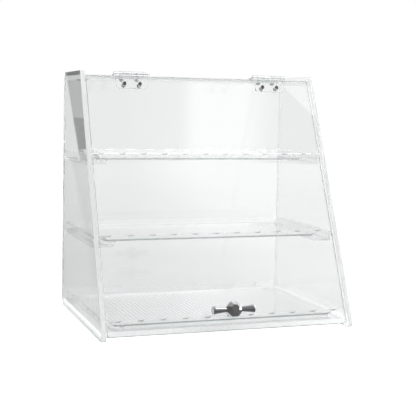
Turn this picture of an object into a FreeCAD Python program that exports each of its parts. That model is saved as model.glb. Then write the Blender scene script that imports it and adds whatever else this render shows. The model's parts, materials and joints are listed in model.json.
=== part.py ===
import FreeCAD, Part
import math
import os
import re

import Sketcher
from FreeCAD import Vector

# Countertop bread display bin: a clear sheet case with a slanted, top-hung door and three pull-out trays.
# X is the viewer's right, Y runs from the front to the back, Z is up. The case is drawn with Y = 0 on its
# back face and Z = 0 on the counter, and the case frame then moves the middle of the footprint to the origin.

sizes = {
    # Case: two side panels with a top, a base and a back glued between them
    "caseWidth": 356.0,
    "caseHeight": 348.5,
    "baseDepth": 254.0,
    "topDepth": 106.0,
    "sheetThickness": 6.35,
    "baseLift": 4.8,
    "topDrop": 5.9,
    "panelCorner": 5.5,
    "heelCorner": 10.0,
    "edgeEase": 0.5,
    # Door: one sheet between the side panels, in front of the top and base panels
    "doorThickness": 6.35,
    "doorSideGap": 2.0,
    "doorSeatGap": 0.3,
    "doorTopGap": 0.5,
    "doorCorner": 2.0,
    # Rails: angle strips on the side panels that carry the upper and middle trays
    "upperLedgeHeight": 222.0,
    "middleLedgeHeight": 114.9,
    "ledgeWidth": 24.0,
    "railHeight": 13.2,
    "railThickness": 3.0,
    "railFrontGap": 10.8,
    # Trays: shallow moulded pans with flared walls, a scalloped rim and four corner feet
    "traySideGap": 2.4,
    "trayBackGap": 4.65,
    "upperTrayFrontGap": 16.0,
    "middleTrayFrontGap": 11.5,
    "bottomTrayFrontGap": 1.8,
    "trayRise": 9.5,
    "trayFlare": 13.6,
    "trayWall": 2.2,
    "trayRimCorner": 9.0,
    "trayFloorCorner": 5.0,
    "lobePitch": 30.5,
    "lobeDrop": 1.4,
    "lobeCrown": 0.15,
    "footSize": 15.0,
    "footInset": 1.0,
    "footHeight": 2.7,
    # Hinges: two moulded leaves on a steel pin, each leaf held by two bolts
    "hingeInset": 66.65,
    "barrelDiameter": 5.4,
    "barrelLift": 0.15,
    "endKnuckle": 8.6,
    "middleKnuckle": 17.15,
    "knuckleGap": 0.3,
    "leafWidth": 46.0,
    "leafReach": 22.0,
    "leafThickness": 2.4,
    "leafCorner": 4.0,
    "leafRelief": 0.4,
    "pinDiameter": 2.5,
    "pinEndGap": 0.4,
    "pinSeatClearance": 0.02,
    "pinRunningClearance": 0.05,
    "pinEndRound": 0.3,
    # Hinge bolts and nuts
    "boltDiameter": 3.0,
    "boltClearance": 0.15,
    "boltSpacing": 22.5,
    "boltReach": 15.3,
    "boltHeadDiameter": 5.8,
    "boltHeadHeight": 2.2,
    "boltHeadRound": 1.3,
    "boltPoint": 1.2,
    "socketFlats": 2.0,
    "socketDepth": 1.2,
    "nutFlats": 5.5,
    "nutHeight": 2.4,
    "threadClearance": 0.05,
    # Knob: a faceted hub with a flared arm on each side, held by a screw from inside the door
    "knobRise": 24.8,
    "knobHalfLength": 29.7,
    "hubDepth": 20.0,
    "hubRadius": 11.0,
    "hubNeckRadius": 6.2,
    "hubTableRadius": 5.4,
    "hubNeckLength": 3.0,
    "hubBand": 7.4,
    "hubBandMiddle": 11.4,
    "armNeckRadius": 3.4,
    "armEndRadius": 5.3,
    "armCapRadius": 5.8,
    "armCapLength": 3.0,
    "armCapDome": 1.4,
    "armSpigotRadius": 2.4,
    "armSpigotLength": 5.5,
    "knobScrewDiameter": 4.0,
    "knobScrewLength": 12.5,
    "knobScrewHeadDiameter": 6.6,
    "knobScrewHeadHeight": 2.0,
    "knobScrewHeadRound": 1.1,
    "knobSocketFlats": 2.5,
    "knobSocketDepth": 1.1,
    "washerDiameter": 9.0,
    "washerThickness": 0.8,
    # Overrun of every cut that leaves its piece
    "cutOverrun": 1.0,
}

# Counts of sides, and the share of its length by which an edge may stray and still run along an axis
nutSides = 6
hubSides = 8
alignmentShare = 1e-6

doc = FreeCAD.newDocument("BreadDisplayBin")
sheet = doc.addObject("Spreadsheet::Sheet", "Sizes")
for row, (name, size) in enumerate(sizes.items(), start=1):
    sheet.set(f"A{row}", name)
    sheet.set(f"B{row}", str(size))
    sheet.setAlias(f"B{row}", name)
doc.recompute()

places = doc.addObject("App::VarSet", "Places")
owners = {name: "Sizes." for name in sizes}


def bound(formula):
    # A formula in plain names, with each name pointed at its cell or its derived place
    return re.sub(r"[A-Za-z]\w*", lambda word: owners.get(word.group(), "") + word.group(), formula)


def value(formula):
    return float(places.evalExpression(bound(formula)))


def derive(name, formula):
    places.addProperty("App::PropertyFloat", name, "Derived")
    places.setExpression(name, bound(formula))
    owners[name] = "Places."


# The slope of the front, and the heights of the panels between the sides
derive("innerHalf", "caseWidth / 2 - sheetThickness")
derive("slopeRun", "baseDepth - topDepth")
derive("slopeLength", "sqrt(slopeRun * slopeRun + caseHeight * caseHeight)")
derive("slopeSine", "slopeRun / slopeLength")
derive("slopeCosine", "caseHeight / slopeLength")
derive("slopeLean", "slopeRun / caseHeight")
derive("baseTop", "baseLift + sheetThickness")
derive("topFace", "caseHeight - topDrop")
derive("topUnder", "topFace - sheetThickness")
derive("doorSetback", "doorThickness / slopeCosine - baseDepth")
derive("panelSetback", "(doorThickness + doorSeatGap) / slopeCosine - baseDepth")

# The door, measured up the slope from the case's front bottom corner line
derive("doorHalf", "innerHalf - doorSideGap")
derive("doorBottom", "(baseLift + doorThickness * slopeSine) / slopeCosine")
derive("doorTop", "(topFace - doorTopGap) / slopeCosine")
derive("knobRun", "doorBottom + knobRise")

# The hinge axis lies one barrel radius, and a little air, off both the top panel and the door
derive("axisOffset", "barrelDiameter / 2 + barrelLift")
derive("axisHeight", "topFace + axisOffset")
derive("axisRun", "(axisHeight - axisOffset * slopeSine) / slopeCosine")
derive("axisDepth", "axisRun * slopeSine - axisOffset * slopeCosine - baseDepth")
derive("barrelHalf", "endKnuckle + middleKnuckle")
derive("hingeSpacing", "2 * (innerHalf - hingeInset)")

# Trays. The wall's run is its thickness measured level, because the wall leans out, and a rim's length is
# shared out into whole lobes. Each tray reaches from the back panel to a named gap behind the door.
ledges = {"upper": "upperLedgeHeight", "middle": "middleLedgeHeight", "bottom": "baseTop"}
derive("trayHalf", "innerHalf - traySideGap")
derive("wallRun", "trayWall * sqrt(trayFlare * trayFlare + trayRise * trayRise) / trayRise")
derive("frontLobes", "round(2 * trayHalf / lobePitch)")
derive("frontLobePitch", "2 * trayHalf / frontLobes")
for shelf, ledge in ledges.items():
    reach = f"doorSetback + slopeLean * ({ledge} + footHeight + trayRise) + {shelf}TrayFrontGap"
    derive(f"{shelf}TrayDepth", f"-({reach}) - sheetThickness - trayBackGap")
    derive(f"{shelf}TrayLobes", f"round({shelf}TrayDepth / lobePitch)")
    derive(f"{shelf}TrayPitch", f"{shelf}TrayDepth / {shelf}TrayLobes")

# The knob's front edge is the part's foremost line, and the back panel's face its rearmost
derive("hubTableFlat", f"hubTableRadius * cos(180 deg / {hubSides})")
derive("hubFlat", f"hubRadius * cos(180 deg / {hubSides})")
derive("frontReach", "baseDepth - knobRun * slopeSine + hubDepth * slopeCosine + hubTableFlat * slopeSine")
derive("originShift", "frontReach / 2")


def frameAt(name, depth, turn):
    places.addProperty("App::PropertyPlacement", name, "Frames")
    formula = f"placement(vector(0; {depth}; 0); rotation(vector(1; 0; 0); {turn}))"
    places.setExpression(name, bound(formula))
    owners[name] = "Places."


# Case frame: X right, Y back, Z up. Door frame: X right, Y up the slope, Z out of the door's face.
frameAt("caseFrame", "originShift", "0")
frameAt("doorFrame", "originShift - baseDepth", "90 deg - atan(slopeLean)")
doc.recompute()


def place(piece, frame, x="0", y="0", z="0", axis="0; 0; 1", turn="0"):
    own = f"placement(vector({x}; {y}; {z}); rotation(vector({axis}); {turn}))"
    piece.setExpression("Placement", bound(f"{frame} * {own}"))


def newBody(label):
    body = doc.addObject("PartDesign::Body", label)
    body.Label = label
    return body


def newSketch(body, name, role, offset="0"):
    plane = next(item for item in body.Origin.OriginFeatures if item.Role == role)
    sketch = body.newObject("Sketcher::SketchObject", name)
    sketch.AttachmentSupport = [(plane, "")]
    sketch.MapMode = "FlatFace"
    if offset != "0":
        sketch.setExpression("AttachmentOffset.Base.z", bound(offset))
    return sketch


def holdPoint(sketch, geometry, vertex, x, y):
    for kind, axis, formula in (("DistanceX", -2, x), ("DistanceY", -1, y)):
        if formula == "0":
            sketch.addConstraint(Sketcher.Constraint("PointOnObject", geometry, vertex, axis))
        else:
            index = sketch.addConstraint(Sketcher.Constraint(kind, -1, 1, geometry, vertex, value(formula)))
            sketch.setExpression(f"Constraints[{index}]", bound(formula))


def drawOutline(sketch, corners):
    # A closed polygon whose corners are pairs of formulas
    spots = [Vector(value(x), value(y), 0) for x, y in corners]
    first = sketch.GeometryCount
    for index, spot in enumerate(spots):
        sketch.addGeometry(Part.LineSegment(spot, spots[(index + 1) % len(spots)]), False)
    for index, (x, y) in enumerate(corners):
        after = first + (index + 1) % len(corners)
        sketch.addConstraint(Sketcher.Constraint("Coincident", first + index, 2, after, 1))
        holdPoint(sketch, first + index, 1, x, y)


def drawRectangle(sketch, left, right, low, high):
    drawOutline(sketch, [(left, low), (right, low), (right, high), (left, high)])


def drawCircle(sketch, x, y, radius):
    circle = Part.Circle(Vector(value(x), value(y), 0), Vector(0, 0, 1), value(radius))
    index = sketch.addGeometry(circle, False)
    holdPoint(sketch, index, 3, x, y)
    rule = sketch.addConstraint(Sketcher.Constraint("Radius", index, value(radius)))
    sketch.setExpression(f"Constraints[{rule}]", bound(radius))


def drawRoundedRectangle(sketch, halfWidth, halfDepth, radius):
    wide, deep, round_ = value(halfWidth), value(halfDepth), value(radius)
    quarter = math.pi / 2
    signs = [(1, -1), (1, 1), (-1, 1), (-1, -1)]
    for turn, (right, back) in enumerate(signs):
        centre = Vector(right * (wide - round_), back * (deep - round_), 0)
        start = (turn - 1) * quarter
        arc = Part.ArcOfCircle(Part.Circle(centre, Vector(0, 0, 1), round_), start, start + quarter)
        sketch.addGeometry(arc, False)
    for turn in range(len(signs)):
        start = sketch.Geometry[turn].EndPoint
        end = sketch.Geometry[(turn + 1) % len(signs)].StartPoint
        side = sketch.addGeometry(Part.LineSegment(start, end), False)
        sketch.addConstraint(Sketcher.Constraint("Tangent", turn, 2, side, 1))
        sketch.addConstraint(Sketcher.Constraint("Tangent", side, 2, (turn + 1) % len(signs), 1))
    for turn, (right, back) in enumerate(signs):
        x = f"{right} * ({halfWidth} - {radius})"
        y = f"{back} * ({halfDepth} - {radius})"
        holdPoint(sketch, turn, 3, x, y)
        rule = sketch.addConstraint(Sketcher.Constraint("Radius", turn, round_))
        sketch.setExpression(f"Constraints[{rule}]", bound(radius))


def addPad(body, sketch, length, flip=False):
    pad = body.newObject("PartDesign::Pad", f"{body.Name}Pad")
    pad.Profile = sketch
    pad.Reversed = flip
    pad.setExpression("Length", bound(length))
    doc.recompute()
    return pad


def addPocket(body, sketch, length, flip=False):
    before = body.Shape.Volume
    pocket = body.newObject("PartDesign::Pocket", f"{body.Name}Pocket")
    pocket.Profile = sketch
    pocket.Reversed = flip
    pocket.setExpression("Length", bound(length))
    doc.recompute()
    if body.Shape.Volume >= before:
        raise RuntimeError(f"{pocket.Name} cuts nothing")
    return pocket


def addRevolution(body, sketch, axis):
    turned = body.newObject("PartDesign::Revolution", f"{body.Name}Turned")
    turned.Profile = sketch
    turned.ReferenceAxis = (sketch, [axis])
    doc.recompute()
    return turned


def roundEdges(body, radius, wanted):
    # Rounds the edges of the body so far that the test picks
    names = [f"Edge{number}" for number, edge in enumerate(body.Shape.Edges, start=1) if wanted(edge)]
    carrier = body.Tip
    fillet = body.newObject("PartDesign::Fillet", f"{body.Name}Round")
    fillet.Base = (carrier, names)
    fillet.setExpression("Radius", bound(radius))
    doc.recompute()
    return fillet


def runsAlong(edge, x, y, z):
    if len(edge.Vertexes) != 2:
        return False
    run = edge.Vertexes[1].Point - edge.Vertexes[0].Point
    return run.cross(Vector(x, y, z)).Length < run.Length * alignmentShare


parts = []


def finishPart(piece, frame, **spot):
    place(piece, frame, **spot)
    parts.append(piece)
    return piece


# Side panels: the slanted outline, cut from sheet, with rounded corners and eased edges
def makeSidePanel(label, start):
    body = newBody(label)
    sketch = newSketch(body, f"{label}Outline", "YZ_Plane", start)
    front = [("-topDepth", "caseHeight"), ("-baseDepth", "0")]
    drawOutline(sketch, [("0", "0"), ("0", "caseHeight"), *front])
    addPad(body, sketch, "sheetThickness")
    roundEdges(body, "heelCorner", lambda edge: runsAlong(edge, 1, 0, 0) and isHeel(edge))
    roundEdges(body, "panelCorner", lambda edge: runsAlong(edge, 1, 0, 0) and isSharp(edge))
    roundEdges(body, "edgeEase", lambda edge: edge.BoundBox.XLength < value("edgeEase"))
    return finishPart(body, "caseFrame")


def isHeel(edge):
    spot = edge.Vertexes[0].Point
    return abs(spot.y) + abs(spot.z) < value("edgeEase")


def isSharp(edge):
    # The corner lines that lie on the outline's own corners, not on the heel's round
    spot = edge.Vertexes[0].Point
    corners = [(0, value("caseHeight")), (-value("topDepth"), value("caseHeight")), (-value("baseDepth"), 0)]
    return any(math.hypot(spot.y - y, spot.z - z) < value("edgeEase") for y, z in corners)


makeSidePanel("left_side_panel", "-caseWidth / 2")
makeSidePanel("right_side_panel", "innerHalf")


# Panels glued between the sides. The top and base are bevelled at the front to lie along the door.
def makeCrossPanel(label, corners):
    body = newBody(label)
    sketch = newSketch(body, f"{label}Profile", "YZ_Plane", "-innerHalf")
    drawOutline(sketch, corners)
    addPad(body, sketch, "2 * innerHalf")
    return body


def levelPanel(low, high):
    return [
        ("-sheetThickness", low),
        ("-sheetThickness", high),
        (f"panelSetback + slopeLean * {high}", high),
        (f"panelSetback + slopeLean * {low}", low),
    ]


hingeSpots = [f"{hinge}hingeSpacing / 2 {side} boltSpacing / 2" for hinge in ("-", "") for side in "-+"]

basePanel = makeCrossPanel("base_panel", levelPanel("baseLift", "baseTop"))
finishPart(basePanel, "caseFrame")

backRear = [("0", "baseLift"), ("0", "topFace")]
backFront = [("-sheetThickness", "topFace"), ("-sheetThickness", "baseLift")]
backPanel = makeCrossPanel("back_panel", backRear + backFront)
finishPart(backPanel, "caseFrame")

topPanel = makeCrossPanel("top_panel", levelPanel("topUnder", "topFace"))
topHoles = newSketch(topPanel, "topPanelHoles", "XY_Plane", "topFace")
for spot in hingeSpots:
    drawCircle(topHoles, spot, "axisDepth + boltReach", "boltDiameter / 2 + boltClearance")
addPocket(topPanel, topHoles, "sheetThickness")
finishPart(topPanel, "caseFrame")

# Door: drawn in its own plane, with holes for the hinge bolts and the knob's screw
door = newBody("front_door")
doorOutline = newSketch(door, "doorOutline", "XY_Plane")
drawRectangle(doorOutline, "-doorHalf", "doorHalf", "doorBottom", "doorTop")
addPad(door, doorOutline, "doorThickness", flip=True)
roundEdges(door, "doorCorner", lambda edge: runsAlong(edge, 0, 0, 1))
roundEdges(door, "edgeEase", lambda edge: edge.BoundBox.ZLength < value("edgeEase"))
doorHoles = newSketch(door, "doorHoles", "XY_Plane")
for spot in hingeSpots:
    drawCircle(doorHoles, spot, "axisRun - boltReach", "boltDiameter / 2 + boltClearance")
drawCircle(doorHoles, "0", "knobRun", "knobScrewDiameter / 2 + boltClearance")
addPocket(door, doorHoles, "doorThickness")
finishPart(door, "doorFrame")


# Rails: an angle strip, its upright leg on the side panel and its ledge turned inwards
def makeRail(label, ledge, side):
    body = newBody(label)
    sketch = newSketch(body, f"{label}Profile", "XZ_Plane", "sheetThickness")
    wall, leg = f"{side}innerHalf", f"{side}(innerHalf - railThickness)"
    lip = f"{side}(innerHalf - ledgeWidth)"
    under, over = f"{ledge} - railThickness", f"{ledge} - railThickness + railHeight"
    drawOutline(sketch, [(wall, under), (lip, under), (lip, ledge), (leg, ledge), (leg, over), (wall, over)])
    addPad(body, sketch, f"-(doorSetback + slopeLean * {ledge} + railFrontGap) - sheetThickness")
    finishPart(body, "caseFrame")


for shelf in ("upper", "middle"):
    makeRail(f"{shelf}_left_rail", ledges[shelf], "-")
    makeRail(f"{shelf}_right_rail", ledges[shelf], "")


def addTrayLoft(body, kind, name, low, high, sections):
    sketches = []
    for height, (halfWidth, halfDepth, corner) in zip((low, high), sections):
        sketch = newSketch(body, f"{name}Section{len(sketches)}", "XY_Plane", height)
        drawRoundedRectangle(sketch, halfWidth, halfDepth, corner)
        sketches.append(sketch)
    doc.recompute()
    loft = body.newObject(f"PartDesign::{kind}Loft", f"{name}Loft")
    loft.Profile = sketches[0]
    loft.Sections = [(sketches[1], [""])]
    loft.Ruled = True
    doc.recompute()


def drawNotch(sketch, middle, pitch):
    # The gap between two rounded lobes of the rim: two arcs that meet in a low point, open at the top
    crest, dip = value("trayRise + lobeCrown"), value("trayRise - lobeDrop")
    half, centre = value(pitch) / 2, value(middle)
    radius = (half ** 2 + (crest - dip) ** 2) / (2 * (crest - dip))
    sweep = math.asin(half / radius)
    over = value("cutOverrun")
    left, right = centre - half, centre + half

    def arc(x, start, end):
        circle = Part.Circle(Vector(x, crest - radius, 0), Vector(0, 0, 1), radius)
        return sketch.addGeometry(Part.ArcOfCircle(circle, start, end), False)

    def line(x1, y1, x2, y2):
        return sketch.addGeometry(Part.LineSegment(Vector(x1, y1, 0), Vector(x2, y2, 0)), False)

    quarter = math.pi / 2
    leftArc = arc(left, quarter - sweep, quarter)
    rise = line(left, crest, left, crest + over)
    across = line(left, crest + over, right, crest + over)
    fall = line(right, crest + over, right, crest)
    rightArc = arc(right, quarter, quarter + sweep)
    loop = [leftArc, rise, across, fall, rightArc]
    for here, after in zip(loop, loop[1:] + loop[:1]):
        sketch.addConstraint(Sketcher.Constraint("Coincident", here, 2, after, 1))
    for upright in ((leftArc, 3, leftArc, 2), (rightArc, 3, rightArc, 1)):
        sketch.addConstraint(Sketcher.Constraint("Vertical", *upright))
    holdPoint(sketch, leftArc, 1, middle, "trayRise - lobeDrop")
    holdPoint(sketch, rise, 1, f"{middle} - {pitch} / 2", "trayRise + lobeCrown")
    holdPoint(sketch, rise, 2, f"{middle} - {pitch} / 2", "trayRise + lobeCrown + cutOverrun")
    holdPoint(sketch, fall, 1, f"{middle} + {pitch} / 2", "trayRise + lobeCrown + cutOverrun")
    holdPoint(sketch, fall, 2, f"{middle} + {pitch} / 2", "trayRise + lobeCrown")


def scallopRim(body, name, role, half, pitch, lobes, length):
    sketch = newSketch(body, f"{name}Notch", role)
    drawNotch(sketch, f"{pitch} - {half}", pitch)
    pocket = addPocket(body, sketch, length)
    pocket.SideType = "Symmetric"
    doc.recompute()
    pattern = body.newObject("PartDesign::LinearPattern", f"{name}Scallops")
    pattern.Originals = [pocket]
    pattern.Direction = (sketch, ["H_Axis"])
    pattern.Mode = "Spacing"
    pattern.setExpression("Offset", bound(pitch))
    pattern.setExpression("Occurrences", bound(f"{lobes} - 1"))
    body.Tip = pattern
    doc.recompute()


def makeTray(shelf, ledge):
    name = f"{shelf}Tray"
    depth, lobes, pitch = f"{name}Depth", f"{name}Lobes", f"{name}Pitch"
    floorShare = "trayWall / trayRise"
    outside = [
        ("(trayHalf - trayFlare)", f"({depth} / 2 - trayFlare)", "trayFloorCorner"),
        ("trayHalf", f"{depth} / 2", "trayRimCorner"),
    ]
    inside = [
        (
            f"(trayHalf - trayFlare + trayFlare * {floorShare} - wallRun)",
            f"({depth} / 2 - trayFlare + trayFlare * {floorShare} - wallRun)",
            f"(trayFloorCorner + (trayRimCorner - trayFloorCorner) * {floorShare} - wallRun)",
        ),
        ("(trayHalf - wallRun)", f"({depth} / 2 - wallRun)", "(trayRimCorner - wallRun)"),
    ]
    body = newBody(f"{shelf}_tray")
    addTrayLoft(body, "Additive", f"{name}Outside", "0", "trayRise", outside)
    addTrayLoft(body, "Subtractive", f"{name}Inside", "trayWall", "trayRise", inside)
    scallopRim(body, f"{name}Front", "XZ_Plane", "trayHalf", "frontLobePitch", "frontLobes", depth)
    scallopRim(body, f"{name}Side", "YZ_Plane", f"{depth} / 2", pitch, lobes, "2 * trayHalf")
    feet = newSketch(body, f"{name}Feet", "XY_Plane")
    outerX, outerY = "(trayHalf - trayFlare - footInset)", f"({depth} / 2 - trayFlare - footInset)"
    innerX, innerY = f"({outerX} - footSize)", f"({outerY} - footSize)"
    for side in ("-", ""):
        for end in ("-", ""):
            drawRectangle(feet, side + outerX, side + innerX, end + outerY, end + innerY)
    addPad(body, feet, "footHeight", flip=True)
    finishPart(body, "caseFrame", y=f"-sheetThickness - trayBackGap - {depth} / 2", z=f"{ledge} + footHeight")


for shelf, ledge in ledges.items():
    makeTray(shelf, ledge)


# Hinge leaf, drawn with the pin's axis on X and the leaf running back along Y. The two leaves of a hinge are
# the same moulding turned end for end, so each fills the other's gaps between knuckles.
def makeLeaf(label, clearance):
    body = newBody(label)
    body.AllowCompound = True
    plate = newSketch(body, f"{label}Plate", "XY_Plane", "-axisOffset")
    root = "barrelDiameter / 2 + leafRelief"
    drawRectangle(plate, "-leafWidth / 2", "leafWidth / 2", root, "leafReach")
    addPad(body, plate, "leafThickness")
    reach = value("leafReach - leafRelief")
    roundEdges(body, "leafCorner", lambda edge: runsAlong(edge, 0, 0, 1) and edge.Vertexes[0].Y > reach)
    knuckles = [
        ("-barrelHalf", "endKnuckle - knuckleGap / 2"),
        ("knuckleGap / 2", "middleKnuckle - knuckleGap"),
    ]
    for number, (start, width) in enumerate(knuckles):
        tongue = newSketch(body, f"{label}Tongue{number}", "YZ_Plane", start)
        drawRectangle(tongue, "0", root, "-axisOffset", "leafThickness - axisOffset")
        addPad(body, tongue, width)
        barrel = newSketch(body, f"{label}Barrel{number}", "YZ_Plane", start)
        drawCircle(barrel, "0", "0", "barrelDiameter / 2")
        addPad(body, barrel, width)
    bore = newSketch(body, f"{label}Bore", "YZ_Plane", "-barrelHalf - cutOverrun")
    drawCircle(bore, "0", "0", f"pinDiameter / 2 + {clearance}")
    addPocket(body, bore, "2 * (barrelHalf + cutOverrun)", flip=True)
    holes = newSketch(body, f"{label}Holes", "XY_Plane", "leafThickness - axisOffset")
    for side in ("-", ""):
        drawCircle(holes, f"{side}boltSpacing / 2", "boltReach", "boltDiameter / 2 + boltClearance")
    addPocket(body, holes, "leafThickness")
    return body


for hand, side in (("left", "-"), ("right", "")):
    spot = f"{side}hingeSpacing / 2"
    fixedLeaf = makeLeaf(f"{hand}_hinge_fixed_leaf", "pinSeatClearance")
    finishPart(fixedLeaf, "caseFrame", x=spot, y="axisDepth", z="axisHeight")
    doorLeaf = makeLeaf(f"{hand}_hinge_door_leaf", "pinRunningClearance")
    finishPart(doorLeaf, "doorFrame", x=spot, y="axisRun", z="axisOffset", turn="180 deg")
    pin = newBody(f"{hand}_hinge_pin")
    pinEnd = newSketch(pin, f"{hand}PinEnd", "YZ_Plane", "pinEndGap - barrelHalf")
    drawCircle(pinEnd, "0", "0", "pinDiameter / 2")
    addPad(pin, pinEnd, "2 * (barrelHalf - pinEndGap)")
    roundEdges(pin, "pinEndRound", lambda edge: edge.BoundBox.XLength < value("pinEndRound"))
    finishPart(pin, "caseFrame", x=spot, y="axisDepth", z="axisHeight")


# Fasteners, drawn with the seat at Z = 0 and the head or the nut's free end above it
def makeScrew(label, length, diameter, head, headHeight, headRound, socket, socketDepth):
    body = newBody(label)
    body.AllowCompound = True
    profile = newSketch(body, f"{label}Profile", "XZ_Plane")
    shank = [("0", f"-{length}"), (f"{diameter} / 2", f"-{length}"), (f"{diameter} / 2", "0")]
    cap = [(f"{head} / 2", "0"), (f"{head} / 2", headHeight), ("0", headHeight)]
    drawOutline(profile, shank + cap)
    addRevolution(body, profile, "V_Axis")
    top = value(f"{headHeight} - {headRound} / 2")
    wide = value(diameter)
    roundEdges(body, headRound, lambda edge: edge.BoundBox.ZMin > top and edge.BoundBox.XLength > wide)
    recess = newSketch(body, f"{label}Socket", "XY_Plane", headHeight)
    drawPolygon(recess, f"{socket} / sqrt(3)", nutSides)
    addPocket(body, recess, socketDepth)
    return body


def drawPolygon(sketch, radius, sides):
    # Corners stand half a side's turn off the X axis, so that a flat side faces it
    turns = [f"{(2 * corner + 1) * 180 / sides} deg" for corner in range(sides)]
    drawOutline(sketch, [(f"{radius} * cos({turn})", f"{radius} * sin({turn})") for turn in turns])


def makeNut(label):
    body = newBody(label)
    body.AllowCompound = True
    outline = newSketch(body, f"{label}Outline", "XY_Plane")
    drawPolygon(outline, "nutFlats / sqrt(3)", nutSides)
    drawCircle(outline, "0", "0", "boltDiameter / 2 + threadClearance")
    addPad(body, outline, "nutHeight")
    corner = newSketch(body, f"{label}Bevel", "XZ_Plane")
    rim = "nutFlats / sqrt(3) + cutOverrun"
    low = f"nutHeight - ({rim} - nutFlats / 2) * tan(30 deg)"
    drawOutline(corner, [("nutFlats / 2", "nutHeight"), (rim, "nutHeight"), (rim, low)])
    before = body.Shape.Volume
    bevel = body.newObject("PartDesign::Groove", f"{label}Groove")
    bevel.Profile = corner
    bevel.ReferenceAxis = (corner, ["V_Axis"])
    doc.recompute()
    if body.Shape.Volume >= before:
        raise RuntimeError(f"{bevel.Name} cuts nothing")
    return body


def repeatAtHinges(body):
    # One fastener becomes two for its leaf, and then four for both hinges
    axis = next(item for item in body.Origin.OriginFeatures if item.Role == "X_Axis")
    for spacing in ("boltSpacing", "hingeSpacing"):
        pattern = body.newObject("PartDesign::LinearPattern", f"{body.Name}Set")
        pattern.TransformMode = "Whole shape"
        pattern.Direction = (axis, [""])
        pattern.Mode = "Spacing"
        pattern.Occurrences = 2
        pattern.setExpression("Offset", bound(spacing))
        body.Tip = pattern
        doc.recompute()
    return body


firstBolt = "-(hingeSpacing + boltSpacing) / 2"
boltHead = ("boltDiameter", "boltHeadDiameter", "boltHeadHeight", "boltHeadRound")
boltSocket = ("socketFlats", "socketDepth")
flipped = {"axis": "1; 0; 0", "turn": "180 deg"}
grips = {"top": "sheetThickness", "door": "doorThickness"}
seats = {
    "top": ("caseFrame", "axisDepth + boltReach", "topFace"),
    "door": ("doorFrame", "axisRun - boltReach", "0"),
}
for leaf, (frame, row, face) in seats.items():
    grip = grips[leaf]
    length = f"(leafThickness + {grip} + nutHeight + boltPoint)"
    bolts = makeScrew(f"hinge_{leaf}_bolts", length, *boltHead, *boltSocket)
    finishPart(repeatAtHinges(bolts), frame, x=firstBolt, y=row, z=f"{face} + leafThickness")
    nuts = makeNut(f"hinge_{leaf}_nuts")
    finishPart(repeatAtHinges(nuts), frame, x=firstBolt, y=row, z=f"{face} - {grip}", **flipped)

# Knob hub: a faceted block on a neck, bored across for the arms and from behind for the screw
hub = newBody("knob_hub")
bandLow, bandHigh = "hubBandMiddle - hubBand / 2", "hubBandMiddle + hubBand / 2"
levels = [
    ("0", "hubNeckRadius"),
    ("hubNeckLength", "hubNeckRadius"),
    (bandLow, "hubRadius"),
    (bandHigh, "hubRadius"),
    ("hubDepth", "hubTableRadius"),
]
hubSections = []
for level, radius in levels:
    section = newSketch(hub, f"hubSection{len(hubSections)}", "XY_Plane", level)
    drawPolygon(section, radius, hubSides)
    hubSections.append(section)
doc.recompute()
hubLoft = hub.newObject("PartDesign::AdditiveLoft", "hubLoft")
hubLoft.Profile = hubSections[0]
hubLoft.Sections = [(section, [""]) for section in hubSections[1:]]
hubLoft.Ruled = True
doc.recompute()
armBore = newSketch(hub, "hubArmBore", "YZ_Plane")
drawCircle(armBore, "0", "hubBandMiddle", "armSpigotRadius + pinSeatClearance")
addPocket(hub, armBore, "2 * (hubFlat + cutOverrun)").SideType = "Symmetric"
screwBore = newSketch(hub, "hubScrewBore", "XY_Plane")
drawCircle(screwBore, "0", "0", "knobScrewDiameter / 2 + threadClearance")
addPocket(hub, screwBore, "knobScrewLength - doorThickness - washerThickness", flip=True)
finishPart(hub, "doorFrame", y="knobRun")

for hand, turn in (("left", "180 deg"), ("right", "0 deg")):
    arm = newBody(f"knob_{hand}_arm")
    armProfile = newSketch(arm, f"{hand}ArmProfile", "XZ_Plane")
    tip = "knobHalfLength - armCapLength"
    spigot = [("hubFlat - armSpigotLength", "0"), ("hubFlat - armSpigotLength", "armSpigotRadius")]
    flare = [("hubFlat", "armSpigotRadius"), ("hubFlat", "armNeckRadius"), (tip, "armEndRadius")]
    cap = [(tip, "armCapRadius"), ("knobHalfLength", "armCapRadius"), ("knobHalfLength", "0")]
    drawOutline(armProfile, spigot + flare + cap)
    addRevolution(arm, armProfile, "H_Axis")
    end = value("knobHalfLength - armCapDome / 2")
    roundEdges(arm, "armCapDome", lambda edge: edge.BoundBox.XMin > end)
    finishPart(arm, "doorFrame", y="knobRun", z="hubBandMiddle", turn=turn)

knobHead = ("knobScrewDiameter", "knobScrewHeadDiameter", "knobScrewHeadHeight", "knobScrewHeadRound")
knobScrew = makeScrew("knob_screw", "knobScrewLength", *knobHead, "knobSocketFlats", "knobSocketDepth")
inside = "-doorThickness - washerThickness"
finishPart(knobScrew, "doorFrame", y="knobRun", z=inside, **flipped)

washer = newBody("knob_washer")
washerOutline = newSketch(washer, "washerOutline", "XY_Plane")
drawCircle(washerOutline, "0", "0", "washerDiameter / 2")
drawCircle(washerOutline, "0", "0", "knobScrewDiameter / 2 + boltClearance")
addPad(washer, washerOutline, "washerThickness")
finishPart(washer, "doorFrame", y="knobRun", z=inside)

# Every object has to be sound before a file is written
doc.recompute()
faults = [item.Name for item in doc.Objects if {"Invalid", "Error"} & set(item.State)]
faults += [piece.Label for piece in parts if piece.Shape.isNull() or not piece.Shape.isValid()]
if faults:
    raise RuntimeError("Failed objects: " + ", ".join(faults))
os.makedirs("parts", exist_ok=True)
whole = FreeCAD.BoundBox()
for piece in parts:
    whole.add(piece.Shape.optimalBoundingBox())
    piece.Shape.exportStep(f"parts/{piece.Label}.step")
    print(piece.Label, len(piece.Shape.Solids), "solid(s)", round(piece.Shape.Volume), "mm3")
print("Size", round(whole.XLength, 2), round(whole.YLength, 2), round(whole.ZLength, 2))
print("Centre", round(whole.Center.x, 3), round(whole.Center.y, 3), "lowest", round(whole.ZMin, 3))
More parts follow.
